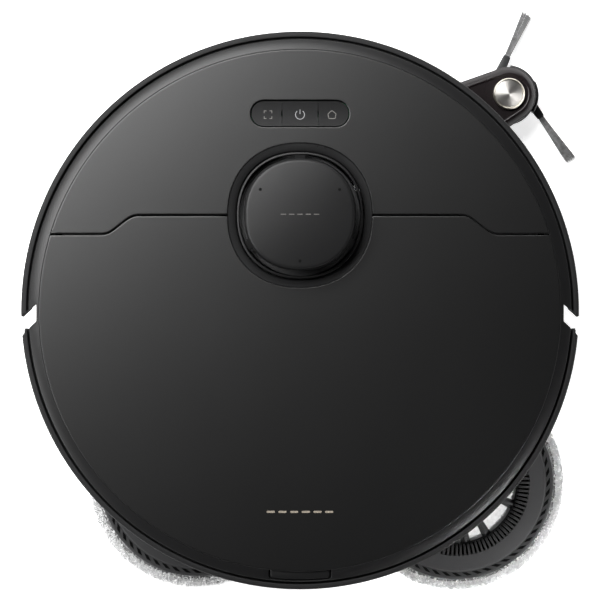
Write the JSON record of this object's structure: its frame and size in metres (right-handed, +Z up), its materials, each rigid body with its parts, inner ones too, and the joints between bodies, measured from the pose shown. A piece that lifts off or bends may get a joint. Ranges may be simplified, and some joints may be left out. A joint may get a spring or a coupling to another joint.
{
  "type": "robot vacuum",
  "caption": "Round robot vacuum and mop with lidar turret, swing-out side brush, rubber roller, sprung wheels and two spinning mops, one on a swing arm.",
  "frame": {"origin": "middle of the footprint of the whole object, with the side arm and the right mop out, on the floor it stands on", "axes": "+Z up, +Y to the front of the robot, +X to its right"},
  "size_m": [0.3525, 0.3739, 0.1038],
  "materials": {
    "top_plate": "fine satin black with a soft sheen",
    "rim_plastic": "matte black",
    "shell_plastic": "satin black, moulded",
    "chassis_plastic": "matte black, moulded",
    "turret_plastic": "satin black",
    "turret_inner": "dark gloss",
    "holder_plastic": "satin black, ribbed",
    "button_plastic": "satin black with pale grey symbols",
    "window_gloss": "infrared black gloss",
    "arm_plastic": "brown black, half gloss",
    "grey_plastic": "moulded grey",
    "smoke_plastic": "smoked",
    "circuit_board": "green solder resist",
    "battery_wrap": "blue shrink wrap",
    "filter_paper": "pleated filter paper",
    "roller_rubber": "matte grey rubber",
    "tyre_rubber": "black ribbed rubber",
    "bristle": "grey nylon bristle",
    "mop_fabric": "white looped microfibre",
    "turned_silver": "turned with circular brushing",
    "steel": "plain steel",
    "contact_gold": "plated"
  },
  "bodies": {
    "root": {"chassis": "chassis_plastic", "front_deck": "top_plate", "rim_ring": "rim_plastic", "rear_shell": "shell_plastic", "camera_module": "chassis_plastic", "turret_well": "top_plate", "lidar_base": "chassis_plastic", "button_board": "circuit_board", "main_board": "circuit_board", "battery_pack": "battery_wrap", "water_tank": "smoke_plastic", "water_pump": "grey_plastic", "suction_fan": "grey_plastic", "roller_motor": "steel", "side_arm_motor": "grey_plastic", "roller_guard": "grey_plastic", "mop_gearbox_left": "chassis_plastic", "cliff_sensor_side": "window_gloss", "cliff_sensor_left": "window_gloss", "cliff_sensor_right": "window_gloss", "charging_contact_left": "contact_gold", "charging_contact_right": "contact_gold", "left_wheel_spring": "steel", "right_wheel_spring": "steel"},
    "rear_lid": {"rear_lid": "top_plate"},
    "dust_box": {"dust_box": "smoke_plastic", "dust_filter": "filter_paper"},
    "dust_box_lid": {"dust_box_lid": "grey_plastic"},
    "bumper": {"front_bumper": "shell_plastic", "sensor_window": "window_gloss"},
    "turret_cover": {"turret_cover": "turret_plastic"},
    "lidar_rotor": {"lidar_rotor": "turret_inner"},
    "button_spot": {"button_spot": "button_plastic"},
    "button_power": {"button_power": "button_plastic"},
    "button_home": {"button_home": "button_plastic"},
    "side_arm": {"side_arm": "arm_plastic", "side_brush_cap": "turned_silver"},
    "side_brush": {"side_brush_hub": "chassis_plastic", "side_brush_tuft_1": "bristle", "side_brush_tuft_2": "bristle", "side_brush_tuft_3": "bristle"},
    "left_suspension": {"left_wheel_arm": "grey_plastic"},
    "left_wheel": {"left_tyre": "tyre_rubber", "left_wheel_hub": "chassis_plastic"},
    "right_suspension": {"right_wheel_arm": "grey_plastic"},
    "right_wheel": {"right_tyre": "tyre_rubber", "right_wheel_hub": "chassis_plastic"},
    "caster_swivel": {"caster_fork": "chassis_plastic", "caster_axle": "steel"},
    "caster_wheel": {"caster_wheel": "roller_rubber"},
    "main_roller": {"main_roller": "roller_rubber"},
    "mop_arm": {"mop_arm_right": "chassis_plastic"},
    "right_mop_lift": {"mop_sleeve_right": "grey_plastic"},
    "right_mop": {"mop_pad_right": "mop_fabric", "mop_holder_right": "holder_plastic", "mop_spindle_right": "steel"},
    "left_mop_lift": {"mop_sleeve_left": "grey_plastic"},
    "left_mop": {"mop_pad_left": "mop_fabric", "mop_holder_left": "holder_plastic", "mop_spindle_left": "steel"}
  },
  "joints": [
    {"name": "rear_lid_lift", "type": "slide", "parent": "root", "child": "rear_lid", "axis": [0, 0, 1], "range_m": [0, 0.2]},
    {"name": "dust_box_lift", "type": "slide", "parent": "root", "child": "dust_box", "axis": [0, 0, 1], "range_m": [0, 0.08]},
    {"name": "dust_lid_hinge", "type": "hinge", "parent": "dust_box", "child": "dust_box_lid", "pos_m": [-0.0015, -0.0458, 0.07], "axis": [1, 0, 0], "range_deg": [0, 60]},
    {"name": "bumper_press", "type": "slide", "parent": "root", "child": "bumper", "axis": [0, -1, 0], "range_m": [0, 0.003], "stiffness_N_per_m": 800, "springref_m": -0.002},
    {"name": "turret_press", "type": "slide", "parent": "root", "child": "turret_cover", "axis": [0, 0, -1], "range_m": [0, 0.0015], "stiffness_N_per_m": 3000, "springref_m": -0.001},
    {"name": "lidar_spin", "type": "hinge", "parent": "root", "child": "lidar_rotor", "pos_m": [-0.0015, 0.0511, 0.085], "axis": [0, 0, 1], "continuous": true},
    {"name": "button_spot_press", "type": "slide", "parent": "root", "child": "button_spot", "axis": [0, 0, -1], "range_m": [0, 0.0008], "stiffness_N_per_m": 900, "springref_m": -0.0005},
    {"name": "button_power_press", "type": "slide", "parent": "root", "child": "button_power", "axis": [0, 0, -1], "range_m": [0, 0.0008], "stiffness_N_per_m": 900, "springref_m": -0.0005},
    {"name": "button_home_press", "type": "slide", "parent": "root", "child": "button_home", "axis": [0, 0, -1], "range_m": [0, 0.0008], "stiffness_N_per_m": 900, "springref_m": -0.0005},
    {"name": "side_arm_swing", "type": "hinge", "parent": "root", "child": "side_arm", "pos_m": [0.0865, 0.1197, 0.02], "axis": [0, 0, 1], "range_deg": [-70, 0]},
    {"name": "side_brush_spin", "type": "hinge", "parent": "side_arm", "child": "side_brush", "pos_m": [0.1332, 0.1311, 0.01], "axis": [0, 0, 1], "continuous": true},
    {"name": "left_suspension", "type": "hinge", "parent": "root", "child": "left_suspension", "pos_m": [-0.1305, 0.0397, 0.036], "axis": [1, 0, 0], "range_deg": [0, 20], "stiffness_Nm_per_rad": 0.55, "springref_deg": 34.38},
    {"name": "left_wheel_spin", "type": "hinge", "parent": "left_suspension", "child": "left_wheel", "pos_m": [-0.1305, -0.0083, 0.036], "axis": [1, 0, 0], "continuous": true},
    {"name": "right_suspension", "type": "hinge", "parent": "root", "child": "right_suspension", "pos_m": [0.1275, 0.0397, 0.036], "axis": [1, 0, 0], "range_deg": [0, 20], "stiffness_Nm_per_rad": 0.55, "springref_deg": 34.38},
    {"name": "right_wheel_spin", "type": "hinge", "parent": "right_suspension", "child": "right_wheel", "pos_m": [0.1275, -0.0083, 0.036], "axis": [1, 0, 0], "continuous": true},
    {"name": "caster_turn", "type": "hinge", "parent": "root", "child": "caster_swivel", "pos_m": [-0.0015, 0.1297, 0.03], "axis": [0, 0, 1], "continuous": true},
    {"name": "caster_roll", "type": "hinge", "parent": "caster_swivel", "child": "caster_wheel", "pos_m": [-0.0015, 0.1237, 0.015], "axis": [1, 0, 0], "continuous": true},
    {"name": "main_roller_spin", "type": "hinge", "parent": "root", "child": "main_roller", "pos_m": [-0.0015, 0.0227, 0.023], "axis": [1, 0, 0], "continuous": true},
    {"name": "mop_arm_swing", "type": "hinge", "parent": "root", "child": "mop_arm", "pos_m": [0.0915, -0.0533, 0.04], "axis": [0, 0, 1], "range_deg": [-26, 0]},
    {"name": "right_mop_raise", "type": "slide", "parent": "mop_arm", "child": "right_mop_lift", "axis": [0, 0, 1], "range_m": [0, 0.0105], "stiffness_N_per_m": 600, "springref_m": -0.02},
    {"name": "right_mop_spin", "type": "hinge", "parent": "right_mop_lift", "child": "right_mop", "pos_m": [0.1005, -0.1208, 0.01], "axis": [0, 0, 1], "continuous": true},
    {"name": "left_mop_raise", "type": "slide", "parent": "root", "child": "left_mop_lift", "axis": [0, 0, 1], "range_m": [0, 0.0105], "stiffness_N_per_m": 600, "springref_m": -0.02},
    {"name": "left_mop_spin", "type": "hinge", "parent": "left_mop_lift", "child": "left_mop", "pos_m": [-0.0691, -0.1187, 0.01], "axis": [0, 0, 1], "continuous": true}
  ],
  "couplings": [
    {"joint": "dust_box_lift", "follows": "rear_lid_lift", "ratio": 0.4},
    {"joint": "dust_lid_hinge", "follows": "rear_lid_lift", "rad_per_m": 5.235},
    {"joint": "left_mop_raise", "follows": "right_mop_raise", "ratio": 1},
    {"joint": "left_mop_spin", "follows": "right_mop_spin", "ratio": -1}
  ]
}
